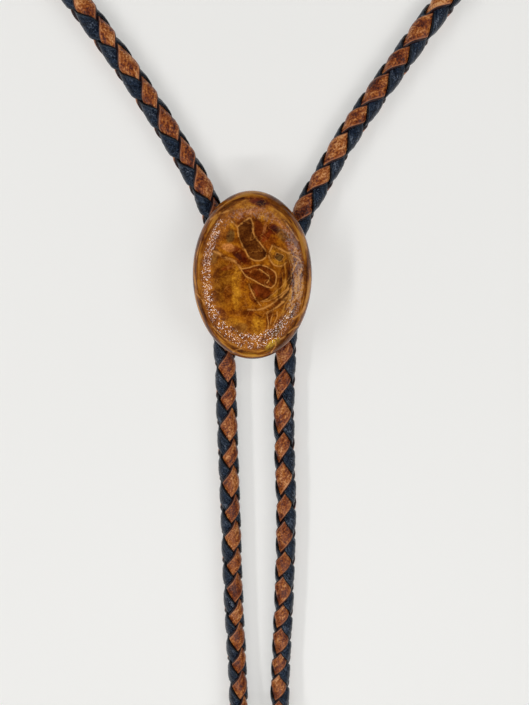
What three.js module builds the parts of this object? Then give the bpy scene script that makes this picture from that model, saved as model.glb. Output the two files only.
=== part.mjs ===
/**
 * Bolo tie.
 * A polished oval stone on a plain metal slide, worn on a round cord that is braided from four
 * leather strands, two brown and two navy, with a plain metal tip on each free end.
 * The tie lies on a table. Units are millimetres, +Z is up, +Y runs towards the neck loop,
 * and the origin is on the table under the stone.
 */
import * as THREE from 'three';

const { degToRad, lerp } = THREE.MathUtils;

// Stone: an oval cabochon
const STONE_WIDTH = 29.8;
const STONE_LENGTH = 41.7;
const STONE_Y = -0.7; // of its middle
const STONE_GIRDLE = 1.6; // height of the upright edge
const STONE_DOME = 6.0; // height of the dome above that edge
const STONE_BEVEL = 0.6; // chamfer round the flat back
const STONE_SHOULDER = 2.7; // 2 is an ellipse, more gives a flatter top and steeper shoulders
const STONE_SIDES = 40;
const STONE_RINGS = 7;

// Cord: four strands braided round a hollow middle
const CORD_RADIUS = 3.0;
const STRAND_THICKNESS = 1.2;
const STRAND_GAP = 0.2; // air between two strands where they cross
const CROSSING_HALF_ANGLE = degToRad(60); // half the width of a crossing, round the cord
const CROSSING_HALF_LENGTH = 0.45; // half the length of a crossing, in pitches
const FIRST_DIAMOND = 3.8; // from the start of the cord to its first brown diamond
const FLOOR_CLEARANCE = 0.05;
const CORD_HEIGHT = CORD_RADIUS + FLOOR_CLEARANCE;

// Slide: a flat box with a channel for the cord on each side, under the stone
const CHANNEL_RADIUS = CORD_RADIUS + 0.4;
const SLIDE_WALL = 0.8;
const SLIDE_LENGTH = 12;
const SLIDE_TOP_Y = 3.5; // the end of the slide nearest the neck
const SLIDE_CENTRE_X = 0.5;
const SLIDE_CORNER = 2.0;
const SLIDE_WINDOW_WIDTH = 7; // of the empty middle, between the two channels
const CHANNEL_SPACING = 16.8; // between the two cords
const CHANNEL_HEIGHT = SLIDE_WALL + CHANNEL_RADIUS;
const SLIDE_HEIGHT = CHANNEL_HEIGHT + CHANNEL_RADIUS + SLIDE_WALL;
const STONE_SEAT = 0.3; // glue line between the slide and the stone

// Tips: tapered metal cups on the two ends of the cord
const TIP_LENGTH = 35;
const TIP_MOUTH_RADIUS = 3.8;
const TIP_END_RADIUS = 2.2;
const TIP_SOCKET_RADIUS = CORD_RADIUS + 0.4;
const TIP_SOCKET_DEPTH = 10;
const TIP_MOUTH_Y = -137;
const TIP_SIDES = 16;

// Neck loop: the round way from one arm of the tie to the other
const NECK_CENTRE = new THREE.Vector2(2.4, 149.9);
const NECK_RADIUS = 87.2;
const NECK_ARM_ANGLE = 38; // degrees between each arm and the tie's long axis
const NECK_STEPS = 12;
const NECK_ROLL = 33;
const NECK_PITCH = 8.3;

const LEFT_CHANNEL_X = SLIDE_CENTRE_X - CHANNEL_SPACING / 2;
const RIGHT_CHANNEL_X = SLIDE_CENTRE_X + CHANNEL_SPACING / 2;
const CORD_END_Y = TIP_MOUTH_Y - TIP_SOCKET_DEPTH + 1;

// Route of the cord's axis: x, y, height, roll of the braid in degrees, length of one diamond
const LEFT_ROUTE = [
  [-5.0, CORD_END_Y, TIP_MOUTH_RADIUS, 30, 8.4],
  [-5.0, TIP_MOUTH_Y + 2, TIP_MOUTH_RADIUS, 30, 8.4],
  [-5.4, -120, CORD_HEIGHT, 30, 8.4],
  [-6.2, -100, CORD_HEIGHT, 30, 8.4],
  [-6.8, -70, CORD_HEIGHT, 30, 8.4],
  [-7.4, -42, CORD_HEIGHT, 30, 8.4],
  [-7.6, -27, CORD_HEIGHT, 30, 8.7],
  [LEFT_CHANNEL_X, -17, CHANNEL_HEIGHT, 30, 7.8],
  [LEFT_CHANNEL_X, -6, CHANNEL_HEIGHT, 30, 7.8],
  [LEFT_CHANNEL_X, 4, CHANNEL_HEIGHT, 34, 7.8],
  [-10.2, 14.5, 3.5, 36, 7.9],
  [-14.0, 23.3, CORD_HEIGHT, 37, 8.3],
  [-20.9, 34.9, CORD_HEIGHT, 37, 8.2],
  [-28.2, 46.0, CORD_HEIGHT, 37, 8.2],
  [-36.0, 56.8, CORD_HEIGHT, 37, 8.2],
  [-54.0, 80.4, CORD_HEIGHT, 37, 8.3],
];
const RIGHT_ROUTE = [
  [58.8, 80.4, CORD_HEIGHT, 28, 8.3],
  [40.4, 56.8, CORD_HEIGHT, 28, 8.2],
  [32.4, 46.0, CORD_HEIGHT, 28, 8.2],
  [24.5, 34.9, CORD_HEIGHT, 28, 8.2],
  [17.6, 23.3, CORD_HEIGHT, 28, 8.4],
  [12.6, 14.5, 3.5, 28, 8.6],
  [RIGHT_CHANNEL_X, 4, CHANNEL_HEIGHT, 28, 9.45],
  [RIGHT_CHANNEL_X, -6, CHANNEL_HEIGHT, 28, 9.45],
  [RIGHT_CHANNEL_X, -17, CHANNEL_HEIGHT, 28, 9.45],
  [8.6, -27, CORD_HEIGHT, 28, 9.1],
  [8.5, -42, CORD_HEIGHT, 28, 9.2],
  [9.3, -70, CORD_HEIGHT, 28, 9.1],
  [8.8, -100, CORD_HEIGHT, 28, 8.5],
  [8.1, -120, CORD_HEIGHT, 28, 8.1],
  [7.8, TIP_MOUTH_Y + 2, TIP_MOUTH_RADIUS, 28, 8.1],
  [7.8, CORD_END_Y, TIP_MOUTH_RADIUS, 28, 8.1],
];

/** The whole route: up the left side, clockwise round the neck and down the right side. */
function cordRoute() {
  const neck = [];
  const half = degToRad(90 + NECK_ARM_ANGLE);
  for (let i = 0; i <= NECK_STEPS; i += 1) {
    const angle = lerp(-half, half, i / NECK_STEPS);
    const x = NECK_CENTRE.x + NECK_RADIUS * Math.sin(angle);
    const y = NECK_CENTRE.y + NECK_RADIUS * Math.cos(angle);
    neck.push([x, y, CORD_HEIGHT, NECK_ROLL, NECK_PITCH]);
  }
  return [...LEFT_ROUTE, ...neck, ...RIGHT_ROUTE];
}

/** The cord's axis, sampled finely, with the braid's roll and phase at each sample. */
function sampleCord(route, samplesPerSpan = 60) {
  const points = route.map(([x, y, z]) => new THREE.Vector3(x, y, z));
  const curve = new THREE.CatmullRomCurve3(points, false, 'centripetal');
  const spans = route.length - 1;
  const samples = [];
  let phase = 0;
  let previous = null;
  for (let i = 0; i <= spans * samplesPerSpan; i += 1) {
    const span = Math.min(Math.floor(i / samplesPerSpan), spans - 1);
    const share = i / samplesPerSpan - span;
    const position = curve.getPoint(i / (spans * samplesPerSpan));
    const pitch = lerp(route[span][4], route[span + 1][4], share);
    const step = previous ? position.distanceTo(previous) : -FIRST_DIAMOND;
    phase += (Math.PI * step) / pitch;
    const tangent = curve.getTangent(i / (spans * samplesPerSpan));
    const roll = degToRad(lerp(route[span][3], route[span + 1][3], share));
    samples.push({ position, tangent, phase, roll });
    previous = position;
  }
  return samples;
}

/** A point of the cord at a phase of the braid, an angle round the axis and a radius. */
function pointOnCord(samples, phase, angle, radius) {
  let low = 0;
  let high = samples.length - 1;
  while (high - low > 1) {
    const middle = (low + high) >> 1;
    if (samples[middle].phase > phase) high = middle;
    else low = middle;
  }
  const [a, b] = [samples[low], samples[high]];
  const share = (phase - a.phase) / (b.phase - a.phase);
  const position = a.position.clone().lerp(b.position, share);
  const tangent = a.tangent.clone().lerp(b.tangent, share).normalize();
  const side = tangent.clone().cross(new THREE.Vector3(0, 0, 1)).normalize();
  const up = side.clone().cross(tangent);
  const turn = angle + lerp(a.roll, b.roll, share);
  position.addScaledVector(up, radius * Math.cos(turn));
  return position.addScaledVector(side, radius * Math.sin(turn));
}

/** A closed solid lofted through rings of equal size, with a fan over the first and the last ring. */
function loft(rings, turnedSides = []) {
  const size = rings[0].length;
  const faces = [];
  for (let r = 0; r + 1 < rings.length; r += 1) {
    for (let j = 0; j < size; j += 1) {
      const a = r * size + j;
      const b = r * size + ((j + 1) % size);
      const [c, d] = [b + size, a + size];
      if (turnedSides.includes(j)) faces.push([a, b, c], [a, c, d]);
      else faces.push([a, b, d], [b, c, d]);
    }
  }
  const last = (rings.length - 1) * size;
  for (let j = 1; j + 1 < size; j += 1) {
    faces.push([0, j + 1, j], [last, last + j, last + j + 1]);
  }
  return closedGeometry(rings.flat(), faces);
}

/** A geometry with its faces turned outward. */
function closedGeometry(points, faces) {
  let volume = 0;
  for (const [a, b, c] of faces) {
    volume += points[a].dot(points[b].clone().cross(points[c]));
  }
  const outward = volume > 0 ? faces : faces.map(([a, b, c]) => [a, c, b]);
  const geometry = new THREE.BufferGeometry();
  const positions = points.flatMap((p) => [p.x, p.y, p.z]);
  geometry.setAttribute('position', new THREE.Float32BufferAttribute(positions, 3));
  geometry.setIndex(outward.flat());
  geometry.computeVertexNormals();
  return geometry;
}

/**
 * One strand of the braid. A right-handed strand lies on top at the front and the back of the cord and a
 * left-handed one at its sides, and each dips under the others in between.
 */
function strandGeometry(samples, { rightHanded, half }) {
  const hand = rightHanded ? 1 : -1;
  const outerTop = CORD_RADIUS;
  const innerTop = CORD_RADIUS - STRAND_THICKNESS - STRAND_GAP;
  const halfLength = CROSSING_HALF_LENGTH * Math.PI;
  const [first, last] = [samples[0].phase, samples.at(-1).phase];
  const rings = [];
  const firstCrossing = Math.ceil((first + halfLength) / (Math.PI / 2));
  const lastCrossing = Math.floor((last - halfLength) / (Math.PI / 2));
  for (let crossing = firstCrossing; crossing <= lastCrossing; crossing += 1) {
    const phase = (crossing * Math.PI) / 2;
    const angle = hand * (phase + half * Math.PI);
    const onTop = (crossing % 2 === 0) === rightHanded;
    const outer = onTop ? outerTop : innerTop;
    const inner = outer - STRAND_THICKNESS;
    const wide = hand * CROSSING_HALF_ANGLE;
    const entry = [[angle - wide, phase], [angle, phase - halfLength]];
    const exit = [[angle, phase + halfLength], [angle + wide, phase]];
    for (const [left, right] of [entry, exit]) {
      rings.push([
        pointOnCord(samples, left[1], left[0], outer),
        pointOnCord(samples, right[1], right[0], outer),
        pointOnCord(samples, right[1], right[0], inner),
        pointOnCord(samples, left[1], left[0], inner),
      ]);
    }
  }
  return loft(rings, [2]);
}

/** An oval or round ring of points at one height. */
function ovalRing(halfWidth, halfLength, height, sides) {
  return Array.from({ length: sides }, (_, i) => {
    const angle = (2 * Math.PI * i) / sides;
    return new THREE.Vector3(halfWidth * Math.cos(angle), halfLength * Math.sin(angle), height);
  });
}

/** The cabochon: a bevelled flat back, an upright girdle and a low dome with full shoulders. */
function stoneGeometry() {
  const [a, b] = [STONE_WIDTH / 2, STONE_LENGTH / 2];
  const rings = [
    ovalRing(a - STONE_BEVEL, b - STONE_BEVEL, 0, STONE_SIDES),
    ovalRing(a, b, STONE_BEVEL, STONE_SIDES),
  ];
  for (let i = 0; i < STONE_RINGS; i += 1) {
    const climb = (i / STONE_RINGS) * (Math.PI / 2);
    const shrink = Math.cos(climb) ** (2 / STONE_SHOULDER);
    const rise = Math.sin(climb) ** (2 / STONE_SHOULDER);
    rings.push(ovalRing(a * shrink, b * shrink, STONE_GIRDLE + STONE_DOME * rise, STONE_SIDES));
  }
  return loft(rings);
}

/** The slide: a flat box with rounded lower edges and three openings from end to end. */
function slideGeometry() {
  const half = CHANNEL_SPACING / 2 + CHANNEL_RADIUS + SLIDE_WALL;
  const outline = new THREE.Shape();
  outline.moveTo(half, SLIDE_HEIGHT);
  outline.lineTo(-half, SLIDE_HEIGHT);
  outline.lineTo(-half, SLIDE_CORNER);
  outline.quadraticCurveTo(-half, 0, SLIDE_CORNER - half, 0);
  outline.lineTo(half - SLIDE_CORNER, 0);
  outline.quadraticCurveTo(half, 0, half, SLIDE_CORNER);
  for (const centre of [-CHANNEL_SPACING / 2, CHANNEL_SPACING / 2]) {
    const channel = new THREE.Path();
    channel.absarc(centre, CHANNEL_HEIGHT, CHANNEL_RADIUS, 0, 2 * Math.PI);
    outline.holes.push(channel);
  }
  const window = new THREE.Path();
  window.moveTo(-SLIDE_WINDOW_WIDTH / 2, SLIDE_WALL);
  window.lineTo(SLIDE_WINDOW_WIDTH / 2, SLIDE_WALL);
  window.lineTo(SLIDE_WINDOW_WIDTH / 2, SLIDE_HEIGHT - SLIDE_WALL);
  window.lineTo(-SLIDE_WINDOW_WIDTH / 2, SLIDE_HEIGHT - SLIDE_WALL);
  outline.holes.push(window);
  const drawn = { depth: SLIDE_LENGTH, bevelEnabled: false, curveSegments: 8 };
  return new THREE.ExtrudeGeometry(outline, drawn).rotateX(Math.PI / 2);
}

/** A tip: a tapered cup, open at the top for the end of the cord. */
function tipGeometry() {
  const profile = [
    [TIP_SOCKET_RADIUS * 0.1, -TIP_SOCKET_DEPTH],
    [TIP_SOCKET_RADIUS, -TIP_SOCKET_DEPTH],
    [TIP_SOCKET_RADIUS, 0],
    [TIP_MOUTH_RADIUS, 0],
    [TIP_MOUTH_RADIUS, -TIP_SOCKET_DEPTH],
    [TIP_END_RADIUS, 1.5 - TIP_LENGTH],
    [TIP_END_RADIUS * 0.7, 0.4 - TIP_LENGTH],
    [TIP_END_RADIUS * 0.2, -TIP_LENGTH],
  ];
  const rings = profile.map(([radius, along]) => ovalRing(radius, radius, along, TIP_SIDES));
  return loft(rings).rotateX(-Math.PI / 2);
}

function finish(color, roughness, metalness = 0) {
  return new THREE.MeshStandardMaterial({ color, roughness, metalness });
}

function addPiece(group, name, geometry, material) {
  const mesh = new THREE.Mesh(geometry, material);
  mesh.name = name;
  group.add(mesh);
  return mesh;
}

function buildBoloTie() {
  const tie = new THREE.Group();
  tie.name = 'bolo_tie';

  const polishedStone = finish(0x8a5a22, 0.15);
  const stone = addPiece(tie, 'stone', stoneGeometry(), polishedStone);
  stone.position.set(0, STONE_Y, SLIDE_HEIGHT + STONE_SEAT);

  const metal = finish(0xb8b4ab, 0.3, 1);
  const slide = addPiece(tie, 'slide_clasp', slideGeometry(), metal);
  slide.position.set(SLIDE_CENTRE_X, SLIDE_TOP_Y, 0);

  const cord = sampleCord(cordRoute());
  const brownLeather = finish(0x8f4a22, 0.5);
  const navyLeather = finish(0x1d2230, 0.45);
  addPiece(tie, 'strand_brown_a', strandGeometry(cord, { rightHanded: true, half: 0 }), brownLeather);
  addPiece(tie, 'strand_brown_b', strandGeometry(cord, { rightHanded: true, half: 1 }), brownLeather);
  addPiece(tie, 'strand_navy_a', strandGeometry(cord, { rightHanded: false, half: 0 }), navyLeather);
  addPiece(tie, 'strand_navy_b', strandGeometry(cord, { rightHanded: false, half: 1 }), navyLeather);

  const [leftEnd, rightEnd] = [LEFT_ROUTE[0], RIGHT_ROUTE.at(-1)];
  addPiece(tie, 'tip_left', tipGeometry(), metal).position.set(leftEnd[0], TIP_MOUTH_Y, TIP_MOUTH_RADIUS);
  addPiece(tie, 'tip_right', tipGeometry(), metal).position.set(rightEnd[0], TIP_MOUTH_Y, TIP_MOUTH_RADIUS);
  return tie;
}

export default buildBoloTie();
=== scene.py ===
"""Looks of the bolo tie: braided leather strands, a polished stone, plain metal, floor, light and camera."""
import math

import bpy
import numpy as np
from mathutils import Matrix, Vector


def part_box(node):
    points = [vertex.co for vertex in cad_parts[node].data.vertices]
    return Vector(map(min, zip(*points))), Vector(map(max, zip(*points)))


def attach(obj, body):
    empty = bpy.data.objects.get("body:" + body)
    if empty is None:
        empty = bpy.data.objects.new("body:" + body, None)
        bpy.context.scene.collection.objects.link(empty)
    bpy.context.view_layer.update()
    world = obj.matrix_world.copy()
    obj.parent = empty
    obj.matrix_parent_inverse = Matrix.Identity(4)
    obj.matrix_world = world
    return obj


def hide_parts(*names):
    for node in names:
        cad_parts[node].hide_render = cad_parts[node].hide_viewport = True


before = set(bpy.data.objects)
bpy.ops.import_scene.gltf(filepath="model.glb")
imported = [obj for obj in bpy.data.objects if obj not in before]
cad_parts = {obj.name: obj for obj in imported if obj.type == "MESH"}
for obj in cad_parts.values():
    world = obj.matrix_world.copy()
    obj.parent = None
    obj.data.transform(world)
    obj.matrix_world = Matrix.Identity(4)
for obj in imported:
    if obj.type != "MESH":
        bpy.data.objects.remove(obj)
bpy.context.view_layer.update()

MM = 0.001
random = np.random.default_rng(7)

# Cord and strands, in metres
CORD_RADIUS = 3.0 * MM
STRAND_THICKNESS = 1.25 * MM
BROWN_WIDTH = 6.0 * MM
UNDERSIDE_BROWN_WIDTH = 4.4 * MM  # the brown strand that faces the table
NAVY_WIDTH = 5.2 * MM
UNDER_DEPTH = 0.80 * MM  # how far a strand's middle sinks from top to under
SWAY = 0.27  # in radians: a strand runs more lengthwise on top and catches up underneath
SWAY_TURN = 2.1  # the part of each over and under, in radians, that is the straight run on top
WIDTH_RADIUS = 2.8 * MM  # radius at which strand widths are laid out
FIRST_DIAMOND = 3.8 * MM
STRAND_MARGIN = 0.45 * math.pi  # of the braid's phase, left free at each end of the cord
WIDTH_DRIFT = 0.02  # share of the width
HEIGHT_DRIFT = 0.03 * MM
STEPS_PER_CROSSING = 14
CORD_HEIGHT = 3.05 * MM
CHANNEL_HEIGHT = 4.2 * MM
TIP_HEIGHT = 3.8 * MM
TIP_MOUTH_Y = -137 * MM
CORD_END_Y = -146 * MM

# Route of the cord's axis: x, y, height, roll of the braid in degrees, length of one diamond
LEFT_ROUTE = [
    (-0.0050, CORD_END_Y, TIP_HEIGHT, 30, 0.0084),
    (-0.0050, -0.1350, TIP_HEIGHT, 30, 0.0084),
    (-0.0054, -0.1200, CORD_HEIGHT, 30, 0.0084),
    (-0.0062, -0.1000, CORD_HEIGHT, 30, 0.0084),
    (-0.0068, -0.0700, CORD_HEIGHT, 30, 0.0084),
    (-0.0074, -0.0420, CORD_HEIGHT, 30, 0.0084),
    (-0.0076, -0.0270, CORD_HEIGHT, 30, 0.0087),
    (-0.0079, -0.0170, CHANNEL_HEIGHT, 30, 0.0078),
    (-0.0079, -0.0060, CHANNEL_HEIGHT, 30, 0.0078),
    (-0.0079, 0.0040, CHANNEL_HEIGHT, 34, 0.0078),
    (-0.0102, 0.0145, 0.0035, 36, 0.0079),
    (-0.0140, 0.0233, CORD_HEIGHT, 37, 0.0083),
    (-0.0209, 0.0349, CORD_HEIGHT, 37, 0.0082),
    (-0.0282, 0.0460, CORD_HEIGHT, 37, 0.0082),
    (-0.0360, 0.0568, CORD_HEIGHT, 37, 0.0082),
    (-0.0540, 0.0804, CORD_HEIGHT, 37, 0.0083),
]
RIGHT_ROUTE = [
    (0.0588, 0.0804, CORD_HEIGHT, 28, 0.0083),
    (0.0404, 0.0568, CORD_HEIGHT, 28, 0.0082),
    (0.0324, 0.0460, CORD_HEIGHT, 28, 0.0082),
    (0.0245, 0.0349, CORD_HEIGHT, 28, 0.0082),
    (0.0176, 0.0233, CORD_HEIGHT, 28, 0.0084),
    (0.0126, 0.0145, 0.0035, 28, 0.0086),
    (0.0089, 0.0040, CHANNEL_HEIGHT, 28, 0.00945),
    (0.0089, -0.0060, CHANNEL_HEIGHT, 28, 0.00945),
    (0.0089, -0.0170, CHANNEL_HEIGHT, 28, 0.00945),
    (0.0086, -0.0270, CORD_HEIGHT, 28, 0.0091),
    (0.0085, -0.0420, CORD_HEIGHT, 28, 0.0092),
    (0.0093, -0.0700, CORD_HEIGHT, 28, 0.0091),
    (0.0088, -0.1000, CORD_HEIGHT, 28, 0.0085),
    (0.0081, -0.1200, CORD_HEIGHT, 28, 0.0081),
    (0.0078, -0.1350, TIP_HEIGHT, 28, 0.0081),
    (0.0078, CORD_END_Y, TIP_HEIGHT, 28, 0.0081),
]
NECK_CENTRE = (2.4 * MM, 149.9 * MM)
NECK_RADIUS = 87.2 * MM
NECK_ARM_ANGLE = 38
NECK_STEPS = 12
NECK_ROLL = 33
NECK_PITCH = 8.30 * MM

# Faces of a strand, as shares of its half width: where the painted highlight along the edge of the face
# starts, and where the dark edge starts, partly dyed colour and partly painted shade of the gap beside the
# strand
HIGHLIGHT_RIM_START = 0.69
DYED_AND_SHADED_EDGE_START = 0.82

# Tips: radius and place along the tip of each step of the turned outline, from the socket to the end
TIP_OUTLINE = [
    (0.1, -10.0), (3.4, -10.0), (3.4, -0.3), (3.5, 0.0), (3.7, 0.0), (3.8, -0.3),
    (3.8, -10.0), (2.2, -33.5), (2.0, -34.2), (1.5, -34.7), (0.8, -34.95), (0.1, -35.0),
]
TIP_SIDES = 64

# Stone
STONE_Y = -0.7 * MM  # of its middle
STONE_WIDTH = 29.8 * MM
STONE_LENGTH = 41.7 * MM
STONE_GIRDLE = 1.6 * MM
STONE_DOME = 6.0 * MM
STONE_BEVEL = 0.6 * MM
STONE_SHOULDER = 2.7
STONE_GLITTER_PLACE = 0.76  # of the glittering shoulder, from 0 in the middle to 1 at the edge
STONE_GLITTER_SPREAD = 0.11
STONE_RIM_START = 0.80  # of the streaked rim
STONE_RIM_SPREAD = 0.10
# Two ovals in millimetres: x, y, two half sizes and turn in degrees
STONE_SWEEP = (9.5, -2.5, 3.4, 7.5, 0)  # streaked like the rim
STONE_DARK_SPOT = (1.8, 17.9, 3.2, 1.4, -12)  # a part of the rim without streaks
STONE_BAND_STRETCH = 0.16
STONE_BAND_DEPTH = 24 * MM
GLITTER_SCALE = 4800
GLITTER_TILT = 0.42
STONE_SIDES = 480
STONE_SHOULDER_RINGS = 60
STONE_CROWN_RINGS = 120

# Stage: a glowing table, four long soft lights and a light tent
FLOOR_REACH = 3.0
FLOOR_GLOW = 0.355
LIGHTS = {  # place, size, power
    "key": ((-1.0, 0.0, 1.0), (1.6, 0.13), 6.8),
    "front": ((0.05, -0.85, 1.05), (1.3, 0.13), 5.6),
    "fill": ((1.0, 0.0, 1.0), (1.2, 0.60), 4.6),
    "back": ((0.0, 0.75, 1.15), (1.0, 0.13), 1.0),
}
TENT_LEVELS = [(0.0, 0.20), (0.40, 0.50), (0.58, 1.0), (0.80, 1.0), (0.92, 0.12), (1.0, 0.05)]
TENT_STRENGTH = 0.33

# Camera: a wide lens close above the tie, tilted a little towards its lower end
CAMERA_LENS = 27.0
CAMERA_TILT = 11.5
CAMERA_AIM = (3.04 * MM, -21.48 * MM, 3.0 * MM)
CAMERA_DISTANCE = 144 * MM


def mesh_object(name, points, faces):
    mesh = bpy.data.meshes.new(name)
    mesh.from_pydata([tuple(p) for p in points], [], faces)
    mesh.update()
    mesh.polygons.foreach_set("use_smooth", [True] * len(mesh.polygons))
    made = bpy.data.objects.new(name, mesh)
    bpy.context.scene.collection.objects.link(made)
    return made


def loft_faces(rings, size):
    """The faces of a closed solid through a number of rings of one size."""
    faces = [tuple(range(size - 1, -1, -1))]
    for r in range(rings - 1):
        low, high = r * size, (r + 1) * size
        for j in range(size):
            k = (j + 1) % size
            faces.append((low + j, low + k, high + k, high + j))
    last = (rings - 1) * size
    faces.append(tuple(range(last, last + size)))
    return faces


def dress(piece, material, node):
    """Give a piece its material and let it stand in for a solid of the part."""
    piece.data.materials.append(material)
    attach(piece, "root")
    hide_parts(node)


def add_attribute(piece, name, values):
    layer = piece.data.attributes.new(name, "FLOAT", "POINT")
    layer.data.foreach_set("value", np.asarray(values, dtype=np.float32))


# Cord
def cord_route():
    half = math.radians(90 + NECK_ARM_ANGLE)
    neck = []
    for i in range(NECK_STEPS + 1):
        angle = half * (2 * i / NECK_STEPS - 1)
        x = NECK_CENTRE[0] + NECK_RADIUS * math.sin(angle)
        y = NECK_CENTRE[1] + NECK_RADIUS * math.cos(angle)
        neck.append((x, y, CORD_HEIGHT, NECK_ROLL, NECK_PITCH))
    return np.array(LEFT_ROUTE + neck + RIGHT_ROUTE)


def smooth_line(points, per_span):
    """A centripetal Catmull-Rom curve through the points."""
    ends = np.vstack([2 * points[0] - points[1], points, 2 * points[-1] - points[-2]])
    share = np.arange(per_span) / per_span
    pieces = []
    for p0, p1, p2, p3 in zip(ends, ends[1:], ends[2:], ends[3:]):
        a, b, c = (math.sqrt(np.linalg.norm(q - p)) for p, q in ((p0, p1), (p1, p2), (p2, p3)))
        start = ((p1 - p0) / a - (p2 - p0) / (a + b) + (p2 - p1) / b) * b
        stop = ((p2 - p1) / b - (p3 - p1) / (b + c) + (p3 - p2) / c) * b
        t = share[:, None]
        pieces.append(
            (2 * t**3 - 3 * t**2 + 1) * p1 + (t**3 - 2 * t**2 + t) * start
            + (3 * t**2 - 2 * t**3) * p2 + (t**3 - t**2) * stop
        )
    return np.vstack(pieces + [points[-1:]])


class Cord:
    """The cord's axis with the braid's phase, roll and pitch along it."""

    def __init__(self, route, per_span=60):
        self.points = smooth_line(route[:, :3], per_span)
        place = np.arange(len(self.points)) / per_span
        rows = np.arange(len(route))
        self.roll = np.radians(np.interp(place, rows, route[:, 3]))
        self.pitch = np.interp(place, rows, route[:, 4])
        step = np.linalg.norm(np.diff(self.points, axis=0), axis=1)
        self.length = np.concatenate([[0], np.cumsum(step)])
        turns = np.concatenate([[0], step]) / self.pitch
        self.phase = math.pi * (np.cumsum(turns) - FIRST_DIAMOND / self.pitch[0])
        tangent = np.gradient(self.points, axis=0)
        self.tangent = tangent / np.linalg.norm(tangent, axis=1)[:, None]

    def at(self, phase, values):
        if values.ndim == 1:
            return np.interp(phase, self.phase, values)
        return np.stack([np.interp(phase, self.phase, column) for column in values.T], axis=-1)

    def place(self, phase, angle, radius):
        """Points at a phase, an angle round the axis and a radius."""
        tangent = self.at(phase, self.tangent)
        side = np.cross(tangent, [0.0, 0.0, 1.0])
        side /= np.linalg.norm(side, axis=-1)[..., None]
        up = np.cross(side, tangent)
        turn = angle + self.at(phase, self.roll)
        spread = np.cos(turn)[..., None] * up + np.sin(turn)[..., None] * side
        return self.at(phase, self.points) + radius[..., None] * spread


def strand_section():
    """The outline of a flat strand with rounded edges: across from -1 to 1, thickness from -1 to 1."""
    top = [(-1.0, 0.30), (-0.975, 0.72), (-0.91, 0.92), (-0.6, 0.99), (0, 1.0)]
    top += [(-across, rise) for across, rise in reversed(top[:-1])]
    low = [(across, -rise) for across, rise in reversed(top)]
    return np.array(top + low)


def wander(count, amount):
    """Slow seeded drift, one value per step."""
    knots = random.normal(0, amount, count // STEPS_PER_CROSSING + 3)
    return np.interp(np.arange(count) / STEPS_PER_CROSSING, np.arange(len(knots)), knots)


def sway(turn):
    """How far a strand lags behind an even helix, at a turn of its over and under (0 is on top)."""
    turn = (turn + math.pi) % (2 * math.pi) - math.pi
    return SWAY * np.interp(turn, [-math.pi, -SWAY_TURN, SWAY_TURN, math.pi], [0, -1, 1, 0])


def strand(name, cord, right_handed, half, full_width):
    """One strand, tip to tip: over one, under one, round the cord."""
    hand = 1 if right_handed else -1
    steps_per_radian = STEPS_PER_CROSSING / (math.pi / 2)
    count = int((cord.phase[-1] - cord.phase[0] - 2 * STRAND_MARGIN) * steps_per_radian)
    phase = cord.phase[0] + STRAND_MARGIN + np.arange(count) / steps_per_radian
    wave = hand * np.cos(2 * phase)  # 1 on top, -1 underneath
    rise = wave * (1.5 - 0.5 * wave**2)
    on_top = 0.5 + 0.5 * rise
    top = 0 if right_handed else math.pi / 2
    angle = hand * (phase + half * math.pi - sway(2 * (phase - top)))
    turning = np.convolve(np.gradient(angle, phase), np.full(5, 0.2), "same")
    pitch = cord.at(phase, cord.pitch)
    along = np.stack([WIDTH_RADIUS * turning, pitch / math.pi], axis=1)
    along /= np.linalg.norm(along, axis=1)[:, None]
    across = np.stack([-along[:, 1], along[:, 0]], axis=1)
    width = full_width * (1 + wander(count, WIDTH_DRIFT))
    middle = CORD_RADIUS - STRAND_THICKNESS / 2 - UNDER_DEPTH * (1 - on_top) + wander(count, HEIGHT_DRIFT)

    section = strand_section()
    offset = section[None, :, 0] * width[:, None] / 2
    grid_phase = phase[:, None] + offset * across[:, None, 1] * math.pi / pitch[:, None]
    grid_angle = angle[:, None] + offset * across[:, None, 0] / WIDTH_RADIUS
    grid_radius = middle[:, None] + section[None, :, 1] * STRAND_THICKNESS / 2
    points = cord.place(grid_phase, grid_angle, grid_radius)

    size = len(section)
    faces = loft_faces(count, size)
    if right_handed:
        faces = [tuple(reversed(face)) for face in faces]
    piece = mesh_object(name, points.reshape(-1, 3), faces)
    run = np.concatenate([[0], np.cumsum(np.linalg.norm(np.diff(points[:, 4], axis=0), axis=1))])
    add_attribute(piece, "along", np.repeat(run, size))
    add_attribute(piece, "across", offset.ravel())
    add_attribute(piece, "edge", np.tile(np.abs(section[:, 0]), count))
    return piece


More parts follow.
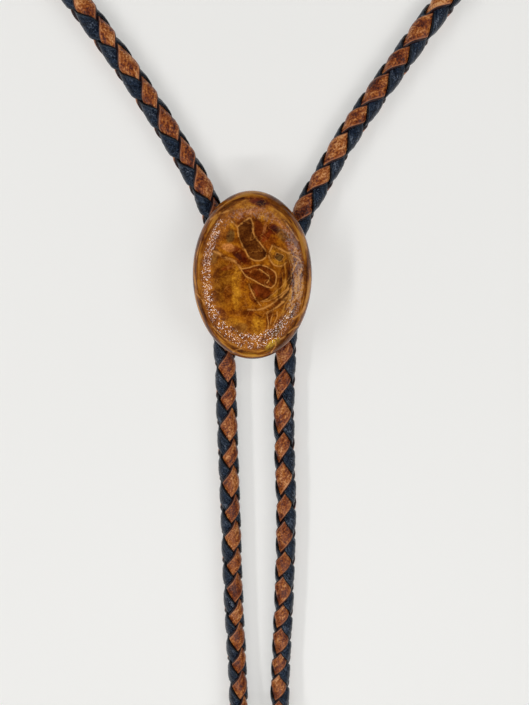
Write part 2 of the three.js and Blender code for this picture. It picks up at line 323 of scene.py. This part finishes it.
# Materials
class Shader:
    """A material with short helpers for its nodes."""

    def __init__(self, name):
        self.material = bpy.data.materials.new(name)
        self.material.use_nodes = True
        self.tree = self.material.node_tree
        self.surface = self.tree.nodes["Principled BSDF"]

    def node(self, kind, **values):
        made = self.tree.nodes.new(kind)
        for key, value in values.items():
            setattr(made, key, value)
        return made

    def link(self, source, target):
        self.tree.links.new(source, target)

    def feed(self, socket, value):
        if isinstance(value, bpy.types.NodeSocket):
            self.link(value, socket)
        else:
            socket.default_value = value

    def attribute(self, name):
        return self.node("ShaderNodeAttribute", attribute_name=name).outputs["Fac"]

    def math(self, operation, a, b=0.0, clamp=False):
        made = self.node("ShaderNodeMath", operation=operation, use_clamp=clamp)
        self.feed(made.inputs[0], a)
        self.feed(made.inputs[1], b)
        return made.outputs[0]

    def above(self, value, start, gain):
        """0 up to a start, then rising to 1."""
        return self.math("MULTIPLY", self.math("SUBTRACT", value, start, clamp=True), gain, clamp=True)

    def weigh(self, a, share_a, b, share_b):
        return self.math("ADD", self.math("MULTIPLY", a, share_a), self.math("MULTIPLY", b, share_b))

    def vector(self, x, y, z=0.0):
        made = self.node("ShaderNodeCombineXYZ")
        for socket, value in zip(made.inputs, (x, y, z)):
            self.feed(socket, value)
        return made.outputs[0]

    def noise(self, place, scale, detail=3.0, roughness=0.55):
        made = self.node("ShaderNodeTexNoise")
        self.link(place, made.inputs["Vector"])
        made.inputs["Scale"].default_value = scale
        made.inputs["Detail"].default_value = detail
        made.inputs["Roughness"].default_value = roughness
        return made.outputs["Fac"]

    def stir(self, place, scale, amount):
        """Places pushed about by a noise, for flowing patterns."""
        made = self.node("ShaderNodeTexNoise")
        self.link(place, made.inputs["Vector"])
        made.inputs["Scale"].default_value = scale
        made.inputs["Detail"].default_value = 3.0
        push = self.node("ShaderNodeVectorMath", operation="MULTIPLY_ADD")
        self.link(made.outputs["Color"], push.inputs[0])
        push.inputs[1].default_value = (amount, amount, amount)
        self.link(place, push.inputs[2])
        return push.outputs[0]

    def times(self, colour, other):
        made = self.node("ShaderNodeVectorMath", operation="MULTIPLY")
        self.link(colour, made.inputs[0])
        self.link(other, made.inputs[1])
        return made.outputs[0]

    def ramp(self, value, stops):
        made = self.node("ShaderNodeValToRGB")
        band = made.color_ramp
        while len(band.elements) < len(stops):
            band.elements.new(0.5)
        for element, (at, colour) in zip(band.elements, stops):
            element.position = at
            element.color = (*colour, 1.0)
        self.link(value, made.inputs["Fac"])
        return made.outputs["Color"]

    def mix(self, share, a, b):
        made = self.node("ShaderNodeMix", data_type="RGBA")
        self.feed(made.inputs["Factor"], share)
        for key, value in (("A", a), ("B", b)):
            socket = [s for s in made.inputs if s.name == key and s.type == "RGBA"][0]
            self.feed(socket, value if isinstance(value, bpy.types.NodeSocket) else (*value, 1.0))
        return [s for s in made.outputs if s.type == "RGBA"][0]

    def bump(self, height, distance):
        made = self.node("ShaderNodeBump")
        made.inputs["Strength"].default_value = 1.0
        made.inputs["Distance"].default_value = distance
        self.link(height, made.inputs["Height"])
        self.link(made.outputs["Normal"], self.surface.inputs["Normal"])

    def set(self, socket, value):
        self.feed(self.surface.inputs[socket], value)


def leather_edges(shader, colour, pale, dark):
    """A thin painted highlight along the edge of a strand's face, and dark edges outside it, partly dyed
    colour and partly painted shade of the gap beside the strand.
    """
    edge = shader.attribute("edge")
    # painted highlight: a pale rim along the edge of the face
    rim = shader.above(edge, HIGHLIGHT_RIM_START, 7.5)
    colour = shader.mix(shader.math("MULTIPLY", rim, 0.80), colour, pale)
    # the dark edge: partly dyed colour, partly painted shade of the gap beside the strand
    side = shader.above(edge, DYED_AND_SHADED_EDGE_START, 40.0)
    return shader.mix(side, colour, dark)


def brown_leather():
    shader = Shader("brown_leather")
    along, across = shader.attribute("along"), shader.attribute("across")
    place = shader.vector(along, across)
    stretched = shader.vector(shader.math("MULTIPLY", along, 0.45), across)
    blotch = shader.noise(stretched, 620, 3.0, 0.6)
    grain = shader.noise(place, 2000, 2.0, 0.6)
    tone = shader.weigh(blotch, 0.5, grain, 0.5)
    dye = shader.noise(place, 95, 2.0, 0.6)
    dyed = shader.math("ADD", tone, shader.math("MULTIPLY", shader.math("SUBTRACT", dye, 0.50), 0.42))
    colour = shader.ramp(dyed, [
        (0.38, (0.045, 0.005, 0.002)),
        (0.45, (0.155, 0.026, 0.004)),
        (0.51, (0.305, 0.072, 0.009)),
        (0.56, (0.450, 0.140, 0.024)),
        (0.64, (0.720, 0.350, 0.140)),
    ])
    # pale painted highlight along the face's edges, and dark maroon edges that are partly dye and partly
    # painted shade
    colour = leather_edges(shader, colour, (0.48, 0.175, 0.075), (0.020, 0.003, 0.003))
    shader.set("Base Color", colour)
    shader.set("Roughness", 0.36)
    shader.set("Specular IOR Level", 0.30)
    shader.bump(tone, 0.30 * MM)
    return shader.material


def navy_leather():
    shader = Shader("navy_leather")
    along, across = shader.attribute("along"), shader.attribute("across")
    place = shader.vector(along, across)
    stretched = shader.vector(shader.math("MULTIPLY", along, 0.38), across)
    wrinkle = shader.noise(stretched, 1150, 3.0, 0.6)
    grain = shader.noise(place, 2300, 2.0, 0.6)
    tone = shader.weigh(wrinkle, 0.5, grain, 0.5)
    colour = shader.ramp(tone, [
        (0.42, (0.0008, 0.0016, 0.0050)),
        (0.50, (0.0035, 0.0075, 0.0200)),
        (0.56, (0.0120, 0.0220, 0.0450)),
        (0.64, (0.0400, 0.0540, 0.0820)),
    ])
    # Painted sheen: pale blue-grey flecks in scattered patches stand in for glints of light on the navy
    # leather.
    painted_sheen_patches = shader.noise(place, 330, 1.0, 0.5)
    painted_sheen_patches = shader.above(painted_sheen_patches, 0.50, 6.0)
    painted_sheen_flecks = shader.above(tone, 0.50, 9.0)
    colour = shader.mix(shader.math("MULTIPLY", painted_sheen_flecks, painted_sheen_patches), colour, (0.14, 0.16, 0.20))
    # pale painted highlight along the face's edges, and near-black edges that are partly dye and partly
    # painted shade
    colour = leather_edges(shader, colour, (0.030, 0.042, 0.060), (0.0035, 0.0020, 0.0030))
    shader.set("Base Color", colour)
    shader.set("Roughness", 0.24)
    shader.set("Specular IOR Level", 0.24)
    shader.set("Specular Tint", (0.65, 0.82, 1.0, 1.0))
    shader.bump(tone, 0.36 * MM)
    return shader.material


def metal():
    shader = Shader("plain_metal")
    place = shader.node("ShaderNodeTexCoord").outputs["Object"]
    wear = shader.noise(place, 220, 3.0, 0.6)
    colour = shader.ramp(wear, [(0.3, (0.58, 0.57, 0.55)), (0.7, (0.68, 0.67, 0.64))])
    shader.set("Base Color", colour)
    shader.set("Metallic", 1.0)
    shader.set("Roughness", shader.math("ADD", shader.math("MULTIPLY", wear, 0.12), 0.20))
    return shader.material


def floor_material():
    shader = Shader("pale_floor")
    place = shader.node("ShaderNodeTexCoord").outputs["Object"]
    tone = shader.noise(place, 3.0, 2.0, 0.5)
    colour = shader.ramp(tone, [(0.2, (0.56, 0.556, 0.542)), (0.8, (0.59, 0.586, 0.572))])
    shader.set("Base Color", colour)
    shader.set("Emission Color", (1.0, 0.995, 0.97, 1.0))
    shader.set("Emission Strength", FLOOR_GLOW)
    shader.set("Roughness", 0.6)
    return shader.material


# Stone and tips
def oval_ring(half_width, half_length, height):
    angle = 2 * math.pi * np.arange(STONE_SIDES) / STONE_SIDES
    across, up = half_width * np.cos(angle), half_length * np.sin(angle)
    return np.stack([across, STONE_Y + up, np.full(STONE_SIDES, height)], axis=1)


def stone_mesh(bottom):
    """A flat-backed oval with an upright edge, steep shoulders and a nearly flat top."""
    a, b = STONE_WIDTH / 2, STONE_LENGTH / 2
    rings = [oval_ring(a - STONE_BEVEL, b - STONE_BEVEL, bottom), oval_ring(a, b, bottom + STONE_BEVEL)]
    climb = np.linspace(0, 0.9, STONE_SHOULDER_RINGS)
    shoulder = np.cos(climb) ** (2 / STONE_SHOULDER)
    crown = np.linspace(shoulder[-1], 0.008, STONE_CROWN_RINGS)[1:]
    for reach in np.concatenate([shoulder, crown]):
        lift = max(1 - reach**STONE_SHOULDER, 0) ** (1 / STONE_SHOULDER)
        rings.append(oval_ring(a * reach, b * reach, bottom + STONE_GIRDLE + STONE_DOME * lift))
    return mesh_object("polished_stone", np.vstack(rings), loft_faces(len(rings), STONE_SIDES))


def stirred(x, y):
    """Places shifted by a few seeded waves, so that no shape in the stone is quite regular."""
    draw = np.random.default_rng(11)
    shifts = [np.zeros_like(x), np.zeros_like(x)]
    for wavelength in (9.0, 6.5, 4.5, 3.2, 2.3, 1.6, 1.1, 0.8):
        for shift in shifts:
            heading, phase = draw.uniform(0, 2 * math.pi, 2)
            wave = x * math.cos(heading) + y * math.sin(heading)
            shift += 0.016 * wavelength * np.sin(2 * math.pi * wave / wavelength + phase)
    return x + shifts[0], y + shifts[1]


def inside(x, y, corners):
    """Whether each place lies within a closed line."""
    within = np.zeros(x.shape, bool)
    for (x0, y0), (x1, y1) in zip(corners, np.roll(corners, -1, axis=0)):
        if y0 != y1:
            crossed = (y0 > y) != (y1 > y)
            within ^= crossed & (x < x0 + (x1 - x0) * (y - y0) / (y1 - y0))
    return within


def oval_spot(x, y, across, up, long, short, turn, steep=12):
    """1 within an oval, falling smoothly to 0 outside it."""
    c, s = math.cos(math.radians(turn)), math.sin(math.radians(turn))
    u = (x - across) * c + (y - up) * s
    v = (y - up) * c - (x - across) * s
    return 1 / (1 + np.exp(np.minimum((np.hypot(u / long, v / short) - 1) * steep, 60)))


def tint_places(x, y):
    """The stone's colour at each place, with two strips of painted highlight among the patches: patches
    painted one over another, then filled shells.
    """
    colour = np.tile(np.array(STONE_COLOURS["amber"]), (len(x), 1))
    for name, across, up, long, short, turn, share in STONE_PATCHES:
        weight = share * oval_spot(x, y, across, up, long, short, turn)
        colour += weight[:, None] * (np.array(STONE_COLOURS[name]) - colour)
    for name, share, _, corners in STONE_SHELLS:
        within = inside(x, y, smooth_line(np.array(corners), 6))
        colour[within] += share * (np.array(STONE_COLOURS[name]) - colour[within])
    return colour


def shell_edges(x, y):
    """The pale edges of shells, and the darker stone beside them: 1 on the edge, falling to 0."""
    line, shade = np.zeros_like(x), np.zeros_like(x)
    outlines = [(width, corners) for _, _, width, corners in STONE_SHELLS]
    for width, corners in outlines + STONE_LINES:
        bends = smooth_line(np.array(corners), 6)
        for (x0, y0), (x1, y1) in zip(bends, bends[1:]):
            dx, dy = x1 - x0, y1 - y0
            share = np.clip(((x - x0) * dx + (y - y0) * dy) / (dx * dx + dy * dy), 0, 1)
            gap = np.hypot(x - x0 - share * dx, y - y0 - share * dy)
            line = np.maximum(line, np.exp(-((gap / width) ** 2)))
            shade = np.maximum(shade, np.exp(-((gap / (0.30 + 1.4 * width)) ** 2)))
    return line, shade


STONE_COLOURS = {
    "black": (0.036, 0.010, 0.008),
    "maroon": (0.115, 0.013, 0.003),
    "umber": (0.105, 0.028, 0.005),
    "red": (0.260, 0.036, 0.006),
    "rust": (0.235, 0.046, 0.004),
    "brown": (0.245, 0.078, 0.005),
    "olive": (0.120, 0.056, 0.014),
    "amber": (0.360, 0.108, 0.005),
    "gold": (0.500, 0.196, 0.012),
    "tan": (0.530, 0.185, 0.045),
    "bright": (0.800, 0.460, 0.035),
}
# Patches in millimetres from the stone's centre: colour, x, y, half length, half width, turn, share
STONE_PATCHES = [
    ("brown", -7.0, -1.2, 5.6, 2.5, 90, 0.95),
    ("maroon", -8.2, 1.6, 2.0, 0.9, 70, 0.35),
    ("rust", -6.0, -3.6, 2.4, 1.0, 80, 0.45),
    ("gold", -3.6, -1.5, 5.8, 1.2, 86, 0.70),
    ("rust", -1.9, 0.2, 3.0, 0.8, 78, 0.60),
    ("olive", -5.2, 9.9, 1.7, 1.1, 70, 0.85),
    ("gold", -4.4, 12.6, 1.2, 0.9, 60, 0.60),
    ("maroon", -2.9, 5.6, 2.7, 1.1, -50, 0.90),
    ("black", -3.2, 5.2, 1.0, 0.6, -40, 0.60),
    ("tan", -5.6, 7.3, 1.5, 0.8, -15, 0.80),
    ("maroon", 1.7, 11.6, 3.1, 1.1, 105, 0.85),
    ("rust", -2.6, 14.0, 1.5, 0.9, 80, 0.60),
    ("maroon", 4.9, 11.4, 1.8, 1.1, -20, 0.95),
    ("black", 5.1, 11.5, 0.9, 0.5, -20, 0.60),
    ("rust", 4.2, 8.6, 1.7, 1.2, 30, 0.75),
    ("olive", 7.6, 9.8, 2.4, 1.3, -50, 0.60),
    ("tan", 2.9, 11.8, 1.3, 0.35, 80, 0.70),
    ("maroon", 9.8, 2.6, 2.0, 1.1, 60, 0.75),
    ("maroon", 2.4, -2.9, 3.1, 1.3, -33, 0.85),
    ("maroon", 7.0, 0.3, 2.4, 0.9, 75, 0.70),
    ("maroon", 6.4, -6.4, 2.2, 0.7, 28, 0.70),
    ("gold", 1.2, -11.6, 2.4, 1.5, 88, 0.75),
    ("gold", -5.4, -10.6, 2.1, 1.0, 5, 0.65),
    ("maroon", -3.0, -8.4, 2.6, 0.8, -5, 0.50),
    ("maroon", -0.8, -10.2, 1.8, 0.7, 80, 0.45),
    ("olive", -2.8, -12.2, 1.9, 1.5, 0, 0.45),
    ("maroon", 7.9, -9.8, 2.2, 1.2, 60, 0.50),
    ("gold", -0.9, 17.1, 2.0, 0.8, 5, 0.50),
    ("maroon", 1.8, 17.9, 2.7, 1.0, -12, 0.95),
    ("black", 2.3, 17.5, 1.3, 0.6, -12, 0.80),
    ("maroon", -2.9, 18.8, 1.3, 0.6, 15, 0.80),
    ("gold", 6.9, 14.6, 3.0, 1.1, -38, 0.45),
    ("maroon", 10.8, 9.3, 4.2, 1.2, -62, 0.60),
    ("maroon", 11.6, 2.4, 3.2, 0.8, 80, 0.55),
    ("maroon", -10.4, -11.8, 3.2, 0.8, -56, 0.70),
    ("rust", -11.6, 9.5, 3.0, 0.8, 62, 0.60),
    ("bright", 5.1, -16.6, 2.3, 1.0, 48, 1.00),
    ("bright", -0.5, -19.0, 1.8, 0.5, -3, 0.50),
    ("maroon", -1.0, 4.1, 1.3, 0.6, -35, 0.70),
    ("red", 3.4, 10.0, 1.3, 0.7, 60, 0.80),
    ("red", -3.4, 3.8, 1.0, 0.6, -40, 0.60),
    ("red", -5.9, 2.6, 1.5, 0.6, 20, 0.50),
    ("red", 1.0, -3.4, 1.4, 0.6, -50, 0.60),
    ("rust", -0.4, -8.3, 1.2, 0.5, 10, 0.70),
    ("maroon", 1.4, -9.1, 1.0, 0.4, -30, 0.60),
    ("red", 8.6, 7.6, 1.4, 0.6, -50, 0.50),
    ("gold", 2.6, 14.2, 1.5, 0.8, -10, 0.55),
    # The two tan strips that follow are painted highlight: the soft reflection of the lights along the top
    # of the glittering shoulder.
    ("tan", 0.4, 15.9, 2.3, 0.5, 3, 0.60),
    ("tan", 7.2, 12.6, 2.2, 0.5, -48, 0.55),
    ("maroon", 0.4, -4.6, 1.6, 0.8, -60, 0.75),
    ("maroon", 4.2, -9.6, 1.9, 0.5, 70, 0.70),
    ("maroon", 9.0, -5.6, 2.2, 0.6, 55, 0.70),
    ("olive", 6.0, -12.6, 2.3, 0.8, 52, 0.70),
    ("gold", 8.6, -7.0, 1.7, 0.5, 50, 0.70),
    ("maroon", -7.4, -8.0, 1.6, 0.8, -35, 0.55),
    ("olive", -8.9, 5.2, 2.0, 0.9, 75, 0.50),
]
# Filled shells: colour, share, width of the pale edge, then the corners of the closed line
STONE_SHELLS = [
    ("umber", 0.90, 0.17, [
        (-3.2, 12.0), (-2.9, 9.5), (-1.8, 6.6), (-0.5, 4.8), (1.3, 4.1), (3.3, 5.0), (3.5, 6.7),
        (2.2, 8.4), (1.0, 10.0), (0.3, 12.0), (-0.5, 14.2), (-1.8, 13.2), (-3.2, 12.0),
    ]),
    ("gold", 0.85, 0.20, [
        (5.0, 8.0), (4.3, 5.6), (5.0, 3.8), (7.0, 3.1), (8.6, 4.0), (9.3, 5.0), (8.3, 6.0),
        (6.8, 6.8), (5.0, 8.0),
    ]),
    ("olive", 0.95, 0.05, [(6.0, 6.3), (5.8, 5.0), (6.9, 4.4), (7.7, 5.2), (6.9, 5.9), (6.0, 6.3)]),
    ("maroon", 0.75, 0.15, [
        (-2.6, 2.4), (-0.2, 2.8), (2.3, 2.9), (4.3, 2.5), (5.6, 1.2), (5.8, -0.4), (4.8, -2.2),
        (3.5, -2.1), (1.0, -0.6), (-1.3, 0.6), (-2.6, 2.4),
    ]),
    ("gold", 0.80, 0.10, [
        (2.3, -5.2), (4.6, -4.1), (7.0, -2.2), (8.7, 0.2), (9.6, 2.0), (9.3, -0.6), (7.8, -3.2),
        (5.4, -4.9), (2.3, -5.2),
    ]),
]
# Other pale edges: width, then the corners of the line
STONE_LINES = [
    (0.13, [(1.8, 2.0), (3.3, 1.1), (4.2, 0.0), (3.6, -1.2)]),
    (0.15, [(-0.7, -1.2), (0.3, -3.5), (2.3, -6.4)]),
    (0.22, [(-1.2, -7.6), (1.8, -7.4), (4.3, -6.4), (7.3, -4.4), (8.8, -2.2)]),
    (0.15, [(3.8, -7.9), (4.0, -9.9), (3.6, -12.9), (2.8, -15.9)]),
    (0.12, [(5.3, -8.4), (4.9, -9.6), (4.5, -10.9)]),
    (0.12, [(6.3, -7.9), (6.1, -9.7), (5.1, -11.4)]),
    (0.26, [(7.1, -5.9), (9.7, -3.0), (11.7, 0.5), (12.1, 2.8)]),
    (0.22, [(8.2, -7.4), (10.8, -4.5), (12.6, -1.9)]),
    (0.20, [(3.7, -8.2), (7.4, -5.9), (9.5, -2.4)]),
    (0.16, [(9.0, 0.4), (10.2, 2.3), (10.9, 4.0)]),
    (0.26, [(-8.9, 6.6), (-6.2, 5.0), (-4.1, 4.1), (-2.6, 2.4)]),
    (0.24, [(-10.1, 14.0), (-7.5, 15.2), (-4.8, 16.2)]),
    (0.16, [(-4.6, 13.6), (-3.7, 12.6), (-3.2, 12.0)]),
    (0.16, [(8.1, 13.7), (9.6, 11.5), (11.4, 9.2)]),
    (0.18, [(7.8, 6.2), (9.6, 6.0), (10.4, 7.1)]),
    (0.18, [(9.3, 5.3), (10.9, 4.7), (11.7, 3.9)]),
    (0.20, [(-13.6, -3.9), (-12.1, -5.2), (-11.6, -6.4)]),
    (0.16, [(-9.9, -12.1), (-8.3, -13.9), (-6.2, -15.4)]),
    (0.18, [(-5.0, -18.5), (-2.8, -17.4)]),
    (0.18, [(5.7, -15.7), (5.6, -17.8), (4.8, -19.0)]),
    (0.22, [(6.8, -15.1), (9.3, -13.4), (11.4, -12.2)]),
    (0.24, [(10.2, -10.0), (11.8, -8.4), (13.1, -7.0)]),
]


def stone_material():
    shader = Shader("polished_stone")
    place = shader.node("ShaderNodeTexCoord").outputs["Object"]
    banded = shader.node("ShaderNodeAttribute", attribute_name="banded").outputs["Vector"]
    tint = shader.node("ShaderNodeAttribute", attribute_name="tint").outputs["Color"]
    cloud = shader.noise(shader.stir(place, 300, 2.4 * MM), 560, 5.0, 0.65)
    speck = shader.noise(place, 2200, 3.0, 0.75)
    depth = shader.weigh(cloud, 0.60, speck, 0.40)
    depth = shader.math("SUBTRACT", depth, shader.math("MULTIPLY", shader.attribute("shade"), 0.09))
    depth = shader.ramp(depth, [
        (0.36, (0.36, 0.26, 0.40)),
        (0.45, (0.68, 0.58, 0.62)),
        (0.505, (1.00, 0.96, 0.95)),
        (0.56, (1.28, 1.38, 1.45)),
        (0.64, (1.70, 2.00, 2.60)),
    ])
    colour = shader.times(tint, depth)
    flow = shader.noise(shader.stir(place, 240, 3.0 * MM), 260, 2.0, 0.5)
    crest = shader.math("ABSOLUTE", shader.math("SUBTRACT", flow, 0.5))
    crest = shader.math("SUBTRACT", 1.0, shader.math("MULTIPLY", crest, 60.0), clamp=True)
    crest = shader.math("MULTIPLY", crest, shader.math("MULTIPLY", speck, 0.8, clamp=True))
    colour = shader.mix(crest, colour, (0.56, 0.21, 0.036))
    streak = shader.ramp(shader.noise(shader.stir(banded, 500, 1.2 * MM), 620, 3.0, 0.65), [
        (0.41, (0.022, 0.005, 0.002)),
        (0.47, (0.115, 0.027, 0.003)),
        (0.53, (0.290, 0.088, 0.005)),
        (0.59, (0.600, 0.270, 0.040)),
    ])
    colour = shader.mix(shader.math("MULTIPLY", shader.attribute("rim"), 0.75), colour, streak)
    worn = shader.above(cloud, 0.36, 6.0)
    line = shader.math("MULTIPLY", shader.attribute("line"), worn)
    colour = shader.mix(line, colour, (0.66, 0.28, 0.060))
    shader.set("Base Color", colour)
    shader.set("Roughness", 0.05)
    shoulder = shader.attribute("shoulder")
    gloss = shader.math("ADD", shader.math("MULTIPLY", shoulder, 0.50), 0.25)
    shader.set("Specular IOR Level", gloss)
    glitter(shader, place, shoulder)
    return shader.material


def glitter(shader, place, amount):
    """Tiny facets, each with a slightly different tilt, where the polish is uneven."""
    cells = shader.node("ShaderNodeTexVoronoi")
    cells.inputs["Scale"].default_value = GLITTER_SCALE
    shader.link(place, cells.inputs["Vector"])
    centred = shader.node("ShaderNodeVectorMath", operation="SUBTRACT")
    centred.inputs[1].default_value = (0.5, 0.5, 0.5)
    shader.link(cells.outputs["Color"], centred.inputs[0])
    tilt = shader.node("ShaderNodeVectorMath", operation="SCALE")
    shader.link(centred.outputs[0], tilt.inputs[0])
    shader.link(shader.math("MULTIPLY", amount, GLITTER_TILT), tilt.inputs["Scale"])
    total = shader.node("ShaderNodeVectorMath", operation="ADD")
    shader.link(shader.node("ShaderNodeNewGeometry").outputs["Normal"], total.inputs[0])
    shader.link(tilt.outputs[0], total.inputs[1])
    unit = shader.node("ShaderNodeVectorMath", operation="NORMALIZE")
    shader.link(total.outputs[0], unit.inputs[0])
    shader.set("Normal", unit.outputs[0])


def add_stone():
    stone = stone_mesh(float(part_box("stone")[0][2]))
    spots = np.empty(len(stone.data.vertices) * 3)
    stone.data.vertices.foreach_get("co", spots)
    across, up = spots[0::3], spots[1::3] - STONE_Y
    stirred_place = stirred(across / MM, up / MM)
    line, shade = shell_edges(*stirred_place)
    add_attribute(stone, "line", line)
    add_attribute(stone, "shade", shade)
    tint = np.column_stack([tint_places(*stirred_place), np.ones(len(across))])
    layer = stone.data.attributes.new("tint", "FLOAT_COLOR", "POINT")
    layer.data.foreach_set("color", tint.astype(np.float32).ravel())
    reach = np.hypot(across / (STONE_WIDTH / 2), up / (STONE_LENGTH / 2))
    uneven = np.clip(0.75 - 0.5 * up / (STONE_LENGTH / 2), 0.3, 1)
    glitter_place = (reach - STONE_GLITTER_PLACE) / STONE_GLITTER_SPREAD
    add_attribute(stone, "shoulder", uneven * np.exp(-(glitter_place**2)))
    sweep = oval_spot(across / MM, up / MM, *STONE_SWEEP, steep=6)
    dark_spot = oval_spot(across / MM, up / MM, *STONE_DARK_SPOT)
    rim = np.maximum(np.clip((reach - STONE_RIM_START) / STONE_RIM_SPREAD, 0, 1), sweep)
    add_attribute(stone, "rim", rim * (1 - dark_spot))
    outward = STONE_BAND_STRETCH / np.maximum(reach, 0.2)
    banded = np.stack([outward * across, outward * up, STONE_BAND_DEPTH * reach], axis=1)
    layer = stone.data.attributes.new("banded", "FLOAT_VECTOR", "POINT")
    layer.data.foreach_set("vector", banded.astype(np.float32).ravel())
    dress(stone, stone_material(), "stone")


def add_tip(name, x, material):
    """A turned metal cup on one end of the cord."""
    angle = 2 * math.pi * np.arange(TIP_SIDES) / TIP_SIDES
    rings = []
    for radius, along in TIP_OUTLINE:
        place = np.full(TIP_SIDES, TIP_MOUTH_Y + along * MM)
        across, up = radius * MM * np.cos(angle), radius * MM * np.sin(angle)
        rings.append(np.stack([x + across, place, TIP_HEIGHT + up], axis=1))
    piece = mesh_object(name + "_metal", np.vstack(rings), loft_faces(len(rings), TIP_SIDES))
    piece.data.set_sharp_from_angle(angle=math.radians(30))
    dress(piece, material, name)


# Stage
def area_light(name, place, size, power):
    """A rectangular light that points at the origin."""
    data = bpy.data.lights.new(name, "AREA")
    data.shape = "RECTANGLE"
    data.size, data.size_y = size
    data.energy = power
    lamp = bpy.data.objects.new(name, data)
    bpy.context.scene.collection.objects.link(lamp)
    lamp.location = place
    x, y, height = place
    yaw = math.atan2(-y, -x)
    pitch = math.atan2(math.hypot(x, y), height)
    lamp.rotation_euler = (pitch, 0, yaw - math.pi / 2)


def add_stage():
    corners = [(-1, -1), (1, -1), (1, 1), (-1, 1)]
    floor = mesh_object("floor", [(x * FLOOR_REACH, y * FLOOR_REACH, 0) for x, y in corners], [(0, 1, 2, 3)])
    floor.data.materials.append(floor_material())
    bpy.context.scene.world = studio_world()
    for name, (place, size, power) in LIGHTS.items():
        area_light(name, place, size, power)


def studio_world():
    """A dim room with a bright band of wall half way up, as in a light tent with the camera in its top."""
    world = bpy.data.worlds.new("studio")
    world.use_nodes = True
    tree = world.node_tree
    place = tree.nodes.new("ShaderNodeTexCoord")
    split = tree.nodes.new("ShaderNodeSeparateXYZ")
    band = tree.nodes.new("ShaderNodeValToRGB")
    tree.links.new(place.outputs["Generated"], split.inputs[0])
    tree.links.new(split.outputs["Z"], band.inputs["Fac"])
    while len(band.color_ramp.elements) < len(TENT_LEVELS):
        band.color_ramp.elements.new(0.5)
    for element, (at, level) in zip(band.color_ramp.elements, TENT_LEVELS):
        element.position = at
        element.color = (level, level * 0.995, level * 0.985, 1)
    tree.links.new(band.outputs["Color"], tree.nodes["Background"].inputs["Color"])
    tree.nodes["Background"].inputs["Strength"].default_value = TENT_STRENGTH
    return world


def add_camera():
    data = bpy.data.cameras.new("camera")
    data.lens = CAMERA_LENS
    data.clip_start = 0.005
    camera = bpy.data.objects.new("camera", data)
    bpy.context.scene.collection.objects.link(camera)
    tilt = math.radians(CAMERA_TILT)
    camera.location = (
        CAMERA_AIM[0],
        CAMERA_AIM[1] + CAMERA_DISTANCE * math.sin(tilt),
        CAMERA_AIM[2] + CAMERA_DISTANCE * math.cos(tilt),
    )
    camera.rotation_euler = (-tilt, 0, 0)
    bpy.context.scene.camera = camera


def main():
    bpy.context.scene.view_settings.view_transform = "Standard"
    cord = Cord(cord_route())
    brown, navy = brown_leather(), navy_leather()
    for name, right_handed, half, width, leather, slot in (
        ("strand_brown_a", True, 0, BROWN_WIDTH, brown, "brown_leather"),
        ("strand_brown_b", True, 1, UNDERSIDE_BROWN_WIDTH, brown, "brown_leather"),
        ("strand_navy_a", False, 0, NAVY_WIDTH, navy, "navy_leather"),
        ("strand_navy_b", False, 1, NAVY_WIDTH, navy, "navy_leather"),
    ):
        piece = strand(name + "_leather", cord, right_handed, half, width)
        dress(piece, leather, name)

    add_stone()
    plain = metal()
    slide = bpy.data.objects["slide_clasp"]
    slide.data.materials.clear()
    slide.data.materials.append(plain)
    add_tip("tip_left", LEFT_ROUTE[0][0], plain)
    add_tip("tip_right", RIGHT_ROUTE[-1][0], plain)
    add_stage()
    add_camera()


main()
